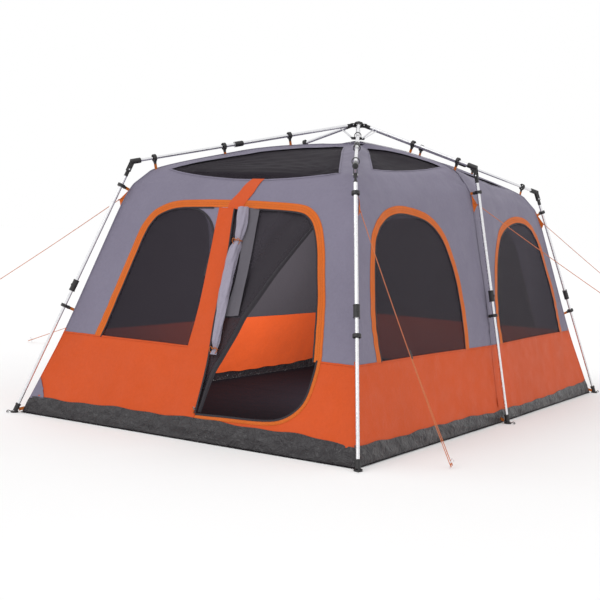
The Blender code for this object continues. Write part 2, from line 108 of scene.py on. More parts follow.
# ---- materials
WAVE_SPAN = 0.314  # period of a wave texture at scale 1
THREAD_HALF = 0.0007
STITCH = 0.0058
BRAID = 0.0045


class Finish:
    """A node material, built one node at a time."""

    def __init__(self, name, **sockets):
        self.material = bpy.data.materials.new(name)
        self.material.use_nodes = True
        self.tree = self.material.node_tree
        self.shader = self.tree.nodes["Principled BSDF"]
        for key, value in sockets.items():
            self.shader.inputs[key.replace("_", " ")].default_value = value
        self.coords = self.tree.nodes.new("ShaderNodeTexCoord")

    def add(self, kind, inputs=(), **settings):
        node = self.tree.nodes.new("ShaderNode" + kind)
        for key, value in settings.items():
            setattr(node, key, value)
        for key, value in dict(inputs).items():
            if isinstance(value, bpy.types.NodeSocket):
                self.tree.links.new(value, node.inputs[key])
            else:
                node.inputs[key].default_value = value
        return node

    def plug(self, socket, key):
        self.tree.links.new(socket, self.shader.inputs[key])

    def noise(self, scale, detail=3, distortion=0.0):
        inputs = {"Vector": self.coords.outputs["Object"], "Scale": scale, "Detail": detail}
        return self.add("TexNoise", {**inputs, "Distortion": distortion}).outputs["Fac"]

    def wave(self, period, direction):
        inputs = {"Vector": self.coords.outputs["UV"], "Scale": WAVE_SPAN / period}
        return self.add("TexWave", inputs, bands_direction=direction).outputs["Fac"]

    def math(self, operation, a, b=0.0):
        return self.add("Math", {0: a, 1: b}, operation=operation).outputs[0]

    def vector(self, operation, a, b=(0, 0, 0), output="Vector"):
        return self.add("VectorMath", {0: a, 1: b}, operation=operation).outputs[output]

    def ramp(self, factor, stops):
        node = self.add("ValToRGB", {"Fac": factor})
        ramp = node.color_ramp
        while len(ramp.elements) < len(stops):
            ramp.elements.new(0.5)
        for element, (position, colour) in zip(ramp.elements, stops):
            element.position = position
            element.color = (*colour, 1) if len(colour) == 3 else (colour[0],) * 3 + (1,)
        return node.outputs["Color"]

    def bump(self, height, distance, strength=1.0, after=None):
        inputs = {"Height": height, "Distance": distance, "Strength": strength}
        if after is not None:
            inputs["Normal"] = after
        return self.add("Bump", inputs).outputs["Normal"]

    def mix(self, factor, first, second):
        node = self.add("Mix", data_type="RGBA")
        for key, value in ((0, factor), (6, first), (7, second)):
            if isinstance(value, bpy.types.NodeSocket):
                self.tree.links.new(value, node.inputs[key])
            else:
                node.inputs[key].default_value = (*value, 1)
        return node.outputs[2]

    def stitches(self, offsets):
        """Rows of stitches along a tape, at these distances either side of its middle."""
        apart = self.add("SeparateXYZ", {0: self.coords.outputs["UV"]}).outputs["Y"]
        away = self.math("ABSOLUTE", apart)
        rows = 0.0
        for offset in offsets:
            from_row = self.math("ABSOLUTE", self.math("SUBTRACT", away, offset))
            rows = self.math("MAXIMUM", self.math("LESS_THAN", from_row, THREAD_HALF), rows)
        return self.math("MULTIPLY", rows, self.math("GREATER_THAN", self.wave(STITCH, "X"), 0.3))


def shade(colour, factor):
    return tuple(min(1, c * factor) for c in colour)


def cloth_finish(
    name, colour, rough=(0.58, 0.76), thread=0.0016, depth=0.00022, creases=0.006, crease_scale=5, **more
):
    """Woven cloth: mottled colour, stitches along a tape's edges, weave and creases."""
    finish = Finish(name, **{"Sheen_Weight": 0.05, "Sheen_Roughness": 0.5, "Specular_IOR_Level": 0.2, **more})
    broad = finish.noise(1.3, 4)
    speck = finish.noise(55, 2)
    mixed = finish.math("MULTIPLY_ADD", speck, 0.35)
    finish.tree.links.new(broad, mixed.node.inputs[2])
    tint = finish.ramp(mixed, [(0.42, shade(colour, 0.92)), (0.92, shade(colour, 1.08))])
    sewn = finish.stitches((0.0045, 0.0095, 0.0245))
    finish.plug(finish.mix(sewn, tint, shade(colour, 0.5)), "Base Color")
    finish.plug(finish.ramp(finish.noise(9, 3), [(0.3, (rough[0],)), (0.7, (rough[1],))]), "Roughness")
    weave = finish.math("MULTIPLY", finish.wave(thread, "X"), finish.wave(thread, "Y"))
    soft = finish.bump(finish.noise(crease_scale, 5, distortion=0.8), creases)
    small = finish.noise(crease_scale * 2.6, 3, distortion=1.4)
    ridges = finish.math("ABSOLUTE", finish.math("SUBTRACT", small, 0.5))
    sharp = finish.bump(ridges, creases * 0.55, after=soft)
    woven = finish.bump(weave, depth, 0.6, after=sharp)
    finish.plug(finish.bump(sewn, 0.0006, after=woven), "Normal")
    return finish.material


MESH = {"rough": (0.8, 0.9), "thread": 0.0022, "depth": 0.00006, "creases": 0.004, "crease_scale": 3}
BINDING = {"thread": 0.0024, "creases": 0.002, "crease_scale": 14}


def mesh_finish(name, colour, shine=0.15, **more):
    return cloth_finish(name, colour, **MESH, Specular_IOR_Level=shine, **more)


orange_cloth = cloth_finish("orange_polyester", (0.57, 0.078, 0.014))
grey_cloth = cloth_finish("grey_polyester", (0.194, 0.177, 0.240))
pale_cloth = cloth_finish("rolled_grey_polyester", (0.30, 0.275, 0.345), creases=0.012, crease_scale=11)
# the door flap is the walls' grey cloth, darkened as painted shade for the shadow it lies in
shaded_flap_cloth = cloth_finish("flap_grey_polyester", (0.115, 0.107, 0.125))
trim_cloth = cloth_finish("orange_binding", (0.60, 0.125, 0.014), **BINDING)
dark_tape = cloth_finish("dark_binding", (0.032, 0.028, 0.034), **BINDING)
webbing = cloth_finish("orange_webbing", (0.50, 0.13, 0.016), thread=0.003, creases=0.001, crease_scale=20)
net = mesh_finish("window_mesh", (0.028, 0.023, 0.031), Alpha=0.66)
far_net = mesh_finish("closed_window_mesh", (0.050, 0.044, 0.052), Alpha=0.95)
# dark mesh, painted darker and duller than the window mesh: painted shade on the top-lit roof net
shaded_roof_mesh = mesh_finish("shaded_roof_mesh", (0.018, 0.014, 0.020), 0.05, Alpha=0.92)
tarp = cloth_finish(
    "charcoal_tarp", (0.013, 0.010, 0.013), rough=(0.26, 0.46), thread=0.003, creases=0.034, crease_scale=6,
    Specular_IOR_Level=0.5,
)
floor_cloth = mesh_finish("floor_tarp", (0.013, 0.010, 0.014), 0.08, Sheen_Weight=0.0)
door_mesh = mesh_finish("door_mesh", (0.036, 0.031, 0.038), Alpha=0.88)


def rope_finish():
    finish = Finish("guy_rope", Sheen_Weight=0.2)
    one = finish.wave(BRAID, "DIAGONAL")
    flip = finish.add("Mapping", {"Vector": finish.coords.outputs["UV"], "Scale": (1, -1, 1)})
    inputs = {"Vector": flip.outputs[0], "Scale": WAVE_SPAN / BRAID}
    other = finish.add("TexWave", inputs, bands_direction="DIAGONAL")
    braid = finish.math("MAXIMUM", one, other.outputs["Fac"])
    finish.plug(finish.ramp(braid, [(0.35, (0.36, 0.07, 0.02)), (0.9, (0.68, 0.21, 0.075))]), "Base Color")
    finish.plug(finish.ramp(finish.noise(300), [(0.3, (0.7,)), (0.7, (0.85,))]), "Roughness")
    finish.plug(finish.bump(braid, 0.0006), "Normal")
    return finish.material


def metal_finish(name, colour):
    finish = Finish(name, Metallic=1.0)
    grain = finish.noise(60, 6)
    finish.plug(finish.ramp(grain, [(0.3, shade(colour, 0.9)), (0.7, colour)]), "Base Color")
    finish.plug(finish.ramp(grain, [(0.3, (0.16,)), (0.72, (0.34,))]), "Roughness")
    finish.plug(finish.bump(finish.noise(420, 2), 0.00001), "Normal")
    return finish.material


def plastic_finish(name, colour):
    finish = Finish(name, Specular_IOR_Level=0.5)
    scuff = finish.noise(26, 5)
    finish.plug(finish.ramp(scuff, [(0.4, colour), (0.8, shade(colour, 1.7))]), "Base Color")
    finish.plug(finish.ramp(scuff, [(0.35, (0.36,)), (0.75, (0.56,))]), "Roughness")
    finish.plug(finish.bump(finish.noise(900, 2), 0.00008), "Normal")
    return finish.material


STEEL = (0.83, 0.83, 0.85)
steel = metal_finish("bright_steel", STEEL)
zip_metal = metal_finish("zip_metal", (0.35, 0.34, 0.34))
black = plastic_finish("black_nylon", (0.014, 0.013, 0.014))
rope_cord = rope_finish()


def tube_finish(name, start, ahead, radius, eye):
    """Steel tube whose parts past a radius, and its first few centimetres, are black nylon."""
    finish = Finish(name)
    away = finish.vector("SUBTRACT", finish.coords.outputs["Object"], tuple(start))
    across = finish.vector("CROSS_PRODUCT", away, tuple(ahead))
    past = finish.math("GREATER_THAN", finish.vector("LENGTH", across, output="Value"), radius)
    far = finish.vector("DOT_PRODUCT", away, tuple(ahead), "Value")
    nylon = finish.math("MAXIMUM", past, finish.math("LESS_THAN", far, eye))
    grain = finish.noise(60, 6)
    bare = finish.ramp(grain, [(0.3, shade(STEEL, 0.9)), (0.7, STEEL)])
    finish.plug(finish.mix(nylon, bare, (0.015, 0.014, 0.015)), "Base Color")
    finish.plug(finish.math("SUBTRACT", 1.0, nylon), "Metallic")
    smooth = finish.math("MULTIPLY_ADD", grain, 0.3)
    smooth.node.inputs[2].default_value = 0.1
    finish.plug(finish.math("MAXIMUM", smooth, finish.math("MULTIPLY", nylon, 0.45)), "Roughness")
    finish.plug(finish.bump(finish.noise(420, 2), 0.00001), "Normal")
    return finish.material


# ---- pieces
def settle(obj, body, soft):
    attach(obj, body)
    if soft:
        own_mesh(obj)
    return obj


def piece(
    name, points, faces, material, body="shelter", uvs=None, thick=0.0, offset=-1.0, soft=None, sharp=40
):
    """A mesh piece from points and faces, thickened into a closed sheet where thick is given."""
    mesh = bpy.data.meshes.new(name)
    mesh.from_pydata([tuple(p) for p in points], [], [tuple(f) for f in faces])
    mesh.materials.append(material)
    if uvs is not None:
        layer = mesh.uv_layers.new(name="cloth")
        corner = np.zeros(len(mesh.loops), int)
        mesh.loops.foreach_get("vertex_index", corner)
        layer.data.foreach_set("uv", np.asarray(uvs, float)[corner].ravel())
    obj = bpy.data.objects.new(name, mesh)
    bpy.context.scene.collection.objects.link(obj)
    if thick:
        solid = obj.modifiers.new("thickness", "SOLIDIFY")
        solid.thickness = thick
        solid.offset = offset
        solid.use_even_offset = False
        bpy.context.view_layer.update()
        shown = obj.evaluated_get(bpy.context.evaluated_depsgraph_get())
        baked = bpy.data.meshes.new_from_object(shown)
        obj.modifiers.clear()
        obj.data = baked
    obj.data.shade_smooth()
    obj.data.set_sharp_from_angle(angle=radians(sharp))
    return settle(obj, body, body == "shelter" if soft is None else soft)


def grid(name, rows, material, uvs=None, closed_across=False, caps=False, **more):
    """A piece from rows of points; closed_across joins each row's ends."""
    count, wide = len(rows), len(rows[0])
    last = wide if closed_across else wide - 1
    faces = [
        (i * wide + j, (i + 1) * wide + j, (i + 1) * wide + (j + 1) % wide, i * wide + (j + 1) % wide)
        for i in range(count - 1)
        for j in range(last)
    ]
    if caps:
        faces += [tuple(range(wide)), tuple((count - 1) * wide + j for j in reversed(range(wide)))]
    points = [p for row in rows for p in row]
    return piece(name, points, faces, material, uvs=uvs, **more)


TWELFTHS = np.linspace(0, 2 * pi, 13)[:-1]


def oval(centre, side, third, wide, high):
    return [centre + side * cos(a) * wide + third * sin(a) * high for a in TWELFTHS]


def circle(centre, side, third, radius, count):
    turns = [2 * pi * k / count for k in range(count)]
    return [centre + (side * cos(turn) + third * sin(turn)) * radius for turn in turns]
def along(points):
    """Distances from the first point along a line of points."""
    steps = [0.0]
    for a, b in zip(points, points[1:]):
        steps.append(steps[-1] + (Vector(b) - Vector(a)).length)
    return steps


def tube(name, line, radius, material, sides=8, **more):
    """A round tube along a line."""
    line = [Vector(p) for p in line]
    across = None
    rows, uvs = [], []
    for i, (point, far) in enumerate(zip(line, along(line))):
        ahead = (line[min(i + 1, len(line) - 1)] - line[max(i - 1, 0)]).normalized()
        if across is None:
            across = ahead.orthogonal().normalized()
        across = (across - ahead * across.dot(ahead)).normalized()
        third = ahead.cross(across)
        rows.append(circle(point, across, third, radius, sides))
        uvs += [(far, 2 * pi * radius * k / sides) for k in range(sides)]
    return grid(name, rows, material, uvs=uvs, closed_across=True, caps=True, **more)


def lathe(name, profile, at, axis, material, body, steps, ring=False):
    """Turn (radius, height) points about an axis; ring closes the profile on itself."""
    axis = Vector(axis).normalized()
    side = axis.orthogonal().normalized()
    third = axis.cross(side)
    rows = [circle(Vector(at) + axis * h, side, third, max(r, 0.00005), steps) for r, h in profile]
    if ring:
        rows.append(rows[0])
    obj = grid(name, rows, material, closed_across=True, caps=not ring, body=body)
    bm = bmesh.new()
    bm.from_mesh(obj.data)
    bmesh.ops.remove_doubles(bm, verts=bm.verts, dist=0.00001)
    bmesh.ops.recalc_face_normals(bm, faces=bm.faces)
    bm.to_mesh(obj.data)
    bm.free()
    return obj


def catmull(points, per_span):
    """Smooth curve through the points, with per_span pieces in each span."""
    points = [Vector(p) for p in points]
    ends = [points[0] * 2 - points[1], *points, points[-1] * 2 - points[-2]]
    line = []
    for p0, p1, p2, p3 in zip(ends, ends[1:], ends[2:], ends[3:]):
        for step in range(per_span):
            t = step / per_span
            bend = (p0 * 2 - p1 * 5 + p2 * 4 - p3) * t**2
            swing = (p1 * 3 - p0 - p2 * 3 + p3) * t**3
            line.append((p1 * 2 + (p2 - p0) * t + bend + swing) / 2)
    return [*line, points[-1]]


# ---- guy ropes
ROPE_R = 0.0025
TURN_R = 0.009
ROPE_SAG = 0.012
BACK_SHARE = 0.42
ROPES = (
    ("front_left", (-0.930, -1.665, 1.500), (-3.060, -2.370)),
    ("rear_left", (-0.930, 1.665, 1.500), (-4.260, 0.960)),
    ("side_right", (0.992, 0.0, 1.600), (3.250, 1.255)),
    ("rear_right", (0.930, 1.665, 1.500), (2.950, 1.830)),
    ("front_right", (0.930, -1.665, 1.500), (1.690, -1.790)),
)


def rope_route(start, peg):
    """Down from the tent to the peg, once round it, and back up beside itself."""
    first, last = Vector(start), Vector((*peg, 0.030))
    run = last - first
    side = run.cross(UP).normalized()
    ahead = Vector((run.x, run.y, 0)).normalized()

    def hanging(t):
        return first + run * t - UP * (4 * ROPE_SAG * run.length * t * (1 - t))

    line = [hanging(step / 5) + side * TURN_R * (step / 5) for step in range(5)]
    for step in range(5):
        angle = pi * step / 4
        line.append(last + (side * cos(angle) + ahead * sin(angle)) * TURN_R)
    for step in range(1, 4):
        apart = TURN_R - (TURN_R - 0.002) * step / 3
        line.append(hanging(1 - BACK_SHARE * step / 3) - side * apart)
    return catmull(line, 3)


def build_rope(name, start, peg):
    line = rope_route(start, peg)
    rope = tube(f"guy_{name}", line, ROPE_R, rope_cord)
    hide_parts(f"rope_{name}")
    end, before = line[-1], line[-2]
    ahead = (end - before).normalized()
    side = ahead.cross(UP).normalized()
    middle = end + ahead * 0.004
    flat = ahead.cross(side).normalized()
    rows = []
    for step in range(9):
        t = step / 8 - 0.5
        wide = 0.0105 if abs(t) < 0.4 else 0.007
        centre = middle + ahead * t * 0.062 + side * 0.002
        rows.append(oval(centre, side, flat, wide, 0.0042))
    slider = grid(f"tensioner_{name}", rows, black, closed_across=True, caps=True)
    profile = [(0.002 + 0.0035 * sin(pi * k / 8), -0.006 + 0.012 * k / 8) for k in range(9)]
    run = line[1] - line[0]
    knot = lathe(f"knot_{name}", profile, line[0] + run.normalized() * 0.040, run, rope_cord, "shelter", 12)


for name, start, peg in ROPES:
    build_rope(name, start, peg)


# ---- the cabin's surface
# corner x, corner y, corner z, side-middle x, side-middle z at ground, seam, shoulder, eave and peak
LEVELS = np.array([
    (1.287, 2.205, 0.004, 1.305, 0.004),
    (1.132, 1.987, 0.552, 1.200, 0.552),
    (0.909, 1.636, 1.564, 0.975, 1.655),
    (0.803, 1.473, 1.725, 0.825, 1.840),
    (0.000, 0.000, 2.035, 0.000, 2.035),
])
V = np.linspace(0, 4, 321)
EASE = 0.20
WALL_SAG = 0.016
END_ROOF_SAG, SIDE_ROOF_SAG, SHOULDER_SAG = 0.03, 0.035, 0.012
# the corner ridges hang between the webbing that holds them up
RIDGE_SHARE = (0, 0.30, 0.61, 0.72, 0.92, 1)
RIDGE_RISE = (0, 0.028, 0.057, 0.021, -0.012, 0)


def level_table():
    rows = []
    for v in V:
        reach = min(EASE, v, 4 - v)
        taps = []
        for share in (-1, -0.67, -0.33, 0, 0.33, 0.67, 1):
            at = v + reach * share
            row = np.array([np.interp(at, range(5), LEVELS[:, k]) for k in range(5)])
            up = min(max(at - 3, 0), 1)
            row[2] += np.interp(up, RIDGE_SHARE, RIDGE_RISE)
            row[4] += 0.028 * 4 * up * (1 - up)
            taps.append(row)
        rows.append(np.mean(taps, axis=0))
    return np.array(rows).T


CX, CY, CZ, MX, MZ = level_table()
FACING = {"front": 1, "back": -1, "right": 1, "left": -1}
BELOW_EAVE = slice(0, 241)
RISING = slice(0, 261)
ROOF = slice(200, None)


def is_end(side):
    return side in ("front", "back")


def raw(side, u, v):
    """Point of one side's surface; u is across in metres and v counts the levels up."""
    cx, cy, cz = (np.interp(v, V, column) for column in (CX, CY, CZ))
    roof = np.clip(v - 3, 0, 1)
    if is_end(side):
        s = np.clip(u / np.maximum(cx, 1e-6), -1, 1)
        sag = (1 - s * s) * (WALL_SAG * np.sin(pi * np.clip(v / 3, 0, 1)))
        drop = (1 - s * s) * END_ROOF_SAG * 4 * roof * (1 - roof)
        sign = -1 if side == "front" else 1
        return np.stack([s * cx, sign * (cy - sag), cz - drop], -1)
    mx, mz = (np.interp(v, V, column) for column in (MX, MZ))
    s = np.clip(u / np.maximum(cy, 1e-6), -1, 1)
    m = 1 - np.sqrt(s * s + 0.0004)
    between = np.sin(pi * np.abs(s)) ** 2
    sag = between * WALL_SAG * np.sin(pi * np.clip(v / 3, 0, 1))
    drop = between * SIDE_ROOF_SAG * 4 * roof * (1 - roof) + between * SHOULDER_SAG * np.clip(v - 1.6, 0, 1)
    sign = 1 if side == "right" else -1
    return np.stack([sign * (cx + (mx - cx) * m - sag), s * cy, cz + (mz - cz) * m - drop], -1)


def heights(side):
    """Distance along the surface from the ground at each step of V."""
    half = CX if is_end(side) else CY
    line = raw(side, (0.0 if is_end(side) else 0.5) * half, V)
    return np.concatenate([[0], np.cumsum(np.linalg.norm(np.diff(line, axis=0), axis=1))])


H = {side: heights(side) for side in FACING}


def half_at(side, h):
    return np.interp(np.interp(h, H[side], V), V, CX if is_end(side) else CY)


def lift(side, u, z):
    """Chart height of the surface point at that place across and that height above ground."""
    u, z = np.asarray(u, float), np.asarray(z, float)
    if is_end(side):
        return np.interp(np.interp(z, CZ[RISING], V[RISING]), V, H[side])
    v = np.interp(z, CZ[BELOW_EAVE], V[BELOW_EAVE])
    for _ in range(8):
        m = 1 - np.clip(np.abs(u) / np.interp(v, V, CY), 0, 1)
        low, high = np.interp(v, V, CZ), np.interp(v, V, MZ)
        v = np.clip(v + (z - (low + (high - low) * m)) / 0.9, 0, 3)
    return np.interp(v, V, H[side])


def chart(side, points):
    """Chart points from (across, height above ground) points."""
    points = np.array(points, float)
    return np.column_stack([points[:, 0], lift(side, points[:, 0], points[:, 1])])


def anchors(side):
    """Where the frame holds this side, in the chart."""
    found = []
    for z in (0.11, 0.734, 1.578):
        h = float(lift(side, 1.0 if is_end(side) else 1.9, z))
        half = float(half_at(side, h))
        found += [(-half, h), (half, h)]
    if not is_end(side):
        found += [(0.0, float(lift(side, 0.0, z))) for z in (0.09, 0.74, 1.66)]
    return found


ANCHORS = {side: anchors(side) for side in FACING}


def folds(side, chart_points):
    """Height of the slack and pulled folds at each chart point."""
    seed = 7.3 * list(FACING).index(side)
    half = half_at(side, chart_points[:, 1])
    out = np.array([
        0.0060 * noise.noise((u * 1.9, h * 1.5, seed))
        + 0.0032 * noise.noise((u * 6.5, h * 3.0, seed + 3))
        + 0.0014 * noise.noise((u * 15, h * 11, seed + 5))
        for u, h in chart_points
    ])
    for k, (au, ah) in enumerate(ANCHORS[side]):
        du, dh = chart_points[:, 0] - au, chart_points[:, 1] - ah
        far = np.hypot(du, dh)
        fan = np.cos(np.arctan2(dh, du) * 15 + k)
        out += 0.0058 * fan * np.exp(-far / 0.2) * np.clip(far / 0.06, 0, 1)
    at_edge = np.clip((half - np.abs(chart_points[:, 0])) / 0.05, 0, 1)
    return out * at_edge * np.clip(chart_points[:, 1] / 0.06, 0, 1)


def on(side, chart_points, out=0.0):
    """Row-frame points of the chart points, out metres outside the cloth."""
    chart_points = np.asarray(chart_points, float)
    u, h = chart_points[:, 0], chart_points[:, 1]
    e = 0.004

    def at(du, dh):
        return raw(side, u + du, np.interp(h + dh, H[side], V))

    normal = np.cross(at(e, 0) - at(-e, 0), at(0, e) - at(0, -e)) * FACING[side]
    normal /= np.maximum(np.linalg.norm(normal, axis=1, keepdims=True), 1e-12)
    return at(0, 0) + normal * (folds(side, chart_points) + out)[:, None]


# ---- cutting cloth
def dense(loop, step, closed=True):
    loop = [np.asarray(p, float) for p in loop]
    following = [*loop[1:], loop[0]] if closed else loop[1:]
    line = []
    for a, b in zip(loop, following):
        count = max(1, int(np.ceil(np.linalg.norm(b - a) / step)))
        line += [a + (b - a) * k / count for k in range(count)]
    return np.array(line if closed else [*line, loop[-1]])


def within(points, loop):
    found = np.zeros(len(points), bool)
    x, y = points[:, 0], points[:, 1]
    for (x0, y0), (x1, y1) in zip(loop, np.roll(loop, -1, 0)):
        crosses = (y0 > y) != (y1 > y)
        found ^= crosses & (x < (x1 - x0) * (y - y0) / (y1 - y0 + 1e-15) + x0)
    return found


def inside(points, loops):
    """Which points are in the first loop and in none of the others."""
    keep = within(points, loops[0])
    for loop in loops[1:]:
        keep &= ~within(points, loop)
    return keep


def cut(outer, holes, step):
    """Triangles that fill an outline around its holes, as points and faces."""
    loops = [dense(loop, step) for loop in (outer, *holes)]
    low, high = loops[0].min(0), loops[0].max(0)
    rows = np.arange(low[1] + step * 0.5, high[1], step * 0.87)
    spots = np.array([
        (x, y)
        for k, y in enumerate(rows)
        for x in np.arange(low[0] + step * (0.25 + 0.5 * (k % 2)), high[0], step)
    ]).reshape(-1, 2)
    spots = spots[inside(spots, loops)]
    rim = np.concatenate(loops)
    near = np.array([np.min(np.sum((rim - p) ** 2, axis=1)) for p in spots])
    spots = spots[near > (0.45 * step) ** 2]
    edges, start = [], 0
    for loop in loops:
        edges += [(start + k, start + (k + 1) % len(loop)) for k in range(len(loop))]
        start += len(loop)
    points = [Vector(p) for p in np.concatenate([rim, spots])]
    made, _, faces, *_ = delaunay_2d_cdt(points, edges, [], 0, 1e-6)
    made = np.array([tuple(p) for p in made])
    faces = np.array([tuple(f) for f in faces])
    faces = faces[inside(made[faces].mean(axis=1), loops)]
    used, faces = np.unique(faces, return_inverse=True)
    return made[used], faces.reshape(-1, 3)


SHEETS = {}
TAPE_THICK = 0.0012
TAPE_SHARES = np.linspace(-0.5, 0.5, 5)


def panel(
    name, side, outer, holes, material, out=0.0, thick=0.0012, step=0.034, bulge=None, carrier=None
):
    """Cloth on one side of the cabin, from outlines in its chart: a sheet, or sewn to its carrier."""
    flat, faces = cut(outer, holes, step)
    away = np.full(len(flat), out) if bulge is None else out + bulge(flat[:, 0], flat[:, 1])
    points = on(side, flat, away)
    if FACING[side] < 0:
        faces = faces[:, ::-1]
    obj = piece(name, points, faces, material, uvs=flat, thick=thick)
    if carrier:
        SHEETS[carrier][4].append(obj)
    else:
        SHEETS[name] = (obj, points, faces, np.ptp(flat, axis=0), [])
    return obj


def tape(name, side, path, width, material, out, carrier, crown=0.0007):
    """A strip of tape or binding that follows a chart path, sewn to its carrier."""
    path = dense(np.asarray(path, float), 0.03, closed=False)
    ahead = np.gradient(path, axis=0)
    ahead /= np.maximum(np.linalg.norm(ahead, axis=1, keepdims=True), 1e-9)
    left = np.column_stack([-ahead[:, 1], ahead[:, 0]])
    far = np.concatenate([[0], np.cumsum(np.linalg.norm(np.diff(path, axis=0), axis=1))])
    shares = TAPE_SHARES * FACING[side]
    wide = width if hasattr(width, "__len__") else [width] * 2
    widths = np.interp(far, np.linspace(0, far[-1], len(wide)), wide)
    flat = (path[:, None, :] + left[:, None, :] * (widths[:, None] * shares)[:, :, None]).reshape(-1, 2)
    away = out + TAPE_THICK + np.tile(crown * (1 - 4 * shares**2), len(path))
    points = on(side, flat, away).reshape(len(path), len(shares), 3)
    uvs = [(f, s * w) for f, w in zip(far, widths) for s in shares]
    obj = grid(name, [list(row) for row in points], material, uvs=uvs, thick=TAPE_THICK)
    SHEETS[carrier][4].append(obj)


# ---- outlines
SEAM_Z = 0.552
CHART_STEP = 0.03
ARCH = [
    (-0.840, 0.552), (-0.765, 0.930), (-0.703, 1.230), (-0.660, 1.345), (-0.590, 1.418), (-0.462, 1.463),
    (-0.220, 1.478), (0.020, 1.483), (0.260, 1.480), (0.490, 1.471), (0.590, 1.443), (0.664, 1.370),
    (0.726, 1.225), (0.770, 1.060), (0.815, 0.890), (0.862, 0.640), (0.876, 0.552),
]
EVEN_ARCH = ARCH[:8] + [(-x, z) for x, z in reversed(ARCH[:7])]
DOOR_RIGHT = [
    (0.871, 0.560), (0.871, 0.481), (0.858, 0.351), (0.817, 0.271), (0.733, 0.208), (0.610, 0.179),
    (0.342, 0.166), (0.110, 0.156),
]
DOOR_BINDING = [
    (0.888, 0.575), (0.888, 0.478), (0.874, 0.344), (0.830, 0.259), (0.742, 0.193), (0.612, 0.163),
    (0.342, 0.150), (0.112, 0.142),
]
POST_LEFT = [
    (-0.117, 1.454), (-0.098, 1.122), (-0.084, 0.883), (-0.085, 0.694), (-0.092, 0.540), (-0.094, 0.13),
]
POST_RIGHT = [
    (0.005, 1.454), (0.040, 1.131), (0.053, 0.870), (0.066, 0.683), (0.090, 0.455), (0.100, 0.230),
    (0.106, 0.13),
]
STRAP_LEFT = [(-0.046, 1.448), (-0.041, 1.497), (0.008, 1.560), (0.036, 1.619), (0.060, 1.652)]
STRAP_RIGHT = [(0.152, 1.654), (0.140, 1.630), (0.122, 1.560), (0.085, 1.497), (0.070, 1.448)]
COVER_EDGE = [(-0.251, 1.424), (-0.176, 1.378), (-0.124, 1.312)]
DIAGONAL = [
    (0.660, 1.400), (0.452, 1.096), (0.333, 0.879), (0.278, 0.777), (0.241, 0.664), (0.185, 0.521),
    (0.149, 0.416), (0.135, 0.290), (0.128, 0.172),
]
ROLL_SPINE = [
    (0.090, 1.455), (0.106, 1.350), (0.107, 1.240), (0.099, 1.110), (0.112, 0.900), (0.120, 0.710),
    (0.127, 0.580), (0.128, 0.520),
]
WINDOW_ONE = [
    (-1.686, 0.552), (-1.676, 0.820), (-1.570, 1.205), (-1.500, 1.345), (-1.347, 1.448), (-1.160, 1.497),
    (-0.958, 1.496), (-0.712, 1.450), (-0.534, 1.325), (-0.425, 1.092), (-0.391, 0.855), (-0.404, 0.552),
]
WINDOW_TWO = [
    (0.232, 0.552), (0.218, 0.782), (0.318, 1.085), (0.476, 1.304), (0.666, 1.424), (1.014, 1.497),
    (1.330, 1.463), (1.521, 1.325), (1.625, 1.110), (1.716, 0.861), (1.757, 0.552),
]


def smooth(points, per=4):
    return [tuple(p[:2]) for p in catmull([(*p, 0) for p in points], per)]


BAND_END = ([-1.28, -0.5, 0.1, 0.9, 1.28], [0.098, 0.112, 0.121, 0.122, 0.104])
BAND_SIDE = ([-2.2, -1.6, -0.8, 0.0, 0.9, 2.2], [0.104, 0.094, 0.095, 0.074, 0.066, 0.100])


def band_top(side, u):
    at = BAND_END if is_end(side) else BAND_SIDE
    return np.interp(u, *at) + 0.004 * np.sin(u * 9) + 0.003 * np.sin(u * 23 + 1)


def line_across(side, level):
    """Chart points across a side at one height above ground, or at band_top."""
    half = 1.32 if is_end(side) else 2.3
    u = np.arange(-half, half + CHART_STEP, CHART_STEP)
    z = level(side, u) if callable(level) else np.full(len(u), level)
    h = lift(side, u, z)
    edge = half_at(side, h)
    keep = np.abs(u) < edge - 0.01
    inner = np.column_stack([u[keep], h[keep]])
    start = (-float(edge[keep][0]), float(h[keep][0]))
    end = (float(edge[keep][-1]), float(h[keep][-1]))
    return np.array([start, *map(tuple, inner), end])


def edges_between(side, low, high):
    """Right edge points upward between two chart heights."""
    h = np.arange(low, high, CHART_STEP)[1:]
    return np.column_stack([half_at(side, h), h])


def outline(side, bottom, top):
    """Closed chart outline between two lines across."""
    right = edges_between(side, bottom[-1][1], top[-1][1])
    left = edges_between(side, bottom[0][1], top[0][1])[::-1] * (-1, 1)
    return np.concatenate([bottom, right, top[::-1], left])


def shrink(line, by):
    """The line moved to its right, which is inside an opening."""
    moved = []
    for i, p in enumerate(line):
        a, b = line[max(i - 1, 0)], line[min(i + 1, len(line) - 1)]
        t = (b - a) / max(np.linalg.norm(b - a), 1e-9)
        moved.append(p + np.array([t[1], -t[0]]) * by)
    return moved


SPLIT_V = 2.35


